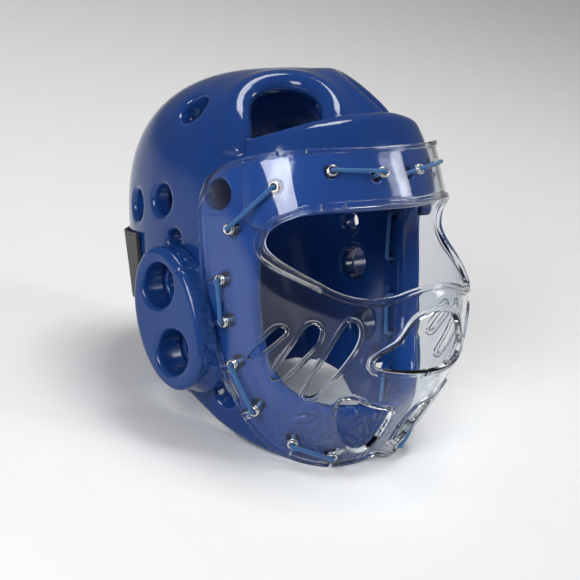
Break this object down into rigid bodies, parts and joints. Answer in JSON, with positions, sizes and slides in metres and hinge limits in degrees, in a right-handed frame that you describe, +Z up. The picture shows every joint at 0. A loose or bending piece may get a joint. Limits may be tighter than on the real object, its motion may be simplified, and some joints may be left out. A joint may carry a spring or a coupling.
{
  "type": "sparring headgear with face shield",
  "caption": "Dipped foam sparring headgear with ear pads, crown vents and a rear strap, and a clear face shield laced to it.",
  "frame": {"origin": "middle of the bounding box, on the plane that the chin and nape edges rest on", "axes": "-Y is out of the face, +X is the wearer's left, +Z is up; the headgear leans back on its chin and nape, so the head's own up axis is the axis of the mount head_seat"},
  "size_m": [0.228, 0.288, 0.2443],
  "materials": {
    "foam": "glossy dipped vinyl skin over closed-cell foam",
    "webbing": "woven elastic with a hook-and-loop face",
    "shield": "clear moulded polycarbonate",
    "eyelet": "nickel-plated",
    "lace": "braided cord"
  },
  "bodies": {
    "root": {"foam_shell": "foam", "forehead_band": "foam", "ear_pad_right": "foam", "ear_pad_left": "foam", "rear_strap_right": "webbing", "rear_strap_left": "webbing", "face_shield": "shield", "eyelet_right_1": "eyelet", "eyelet_right_2": "eyelet", "eyelet_right_3": "eyelet", "eyelet_right_4": "eyelet", "eyelet_right_5": "eyelet", "eyelet_right_6": "eyelet", "eyelet_right_7": "eyelet", "eyelet_right_8": "eyelet", "eyelet_right_9": "eyelet", "eyelet_right_10": "eyelet", "lace_right": "lace", "eyelet_left_1": "eyelet", "eyelet_left_2": "eyelet", "eyelet_left_3": "eyelet", "eyelet_left_4": "eyelet", "eyelet_left_5": "eyelet", "eyelet_left_6": "eyelet", "eyelet_left_7": "eyelet", "eyelet_left_8": "eyelet", "eyelet_left_9": "eyelet", "eyelet_left_10": "eyelet", "lace_left": "lace"}
  },
  "joints": []
}
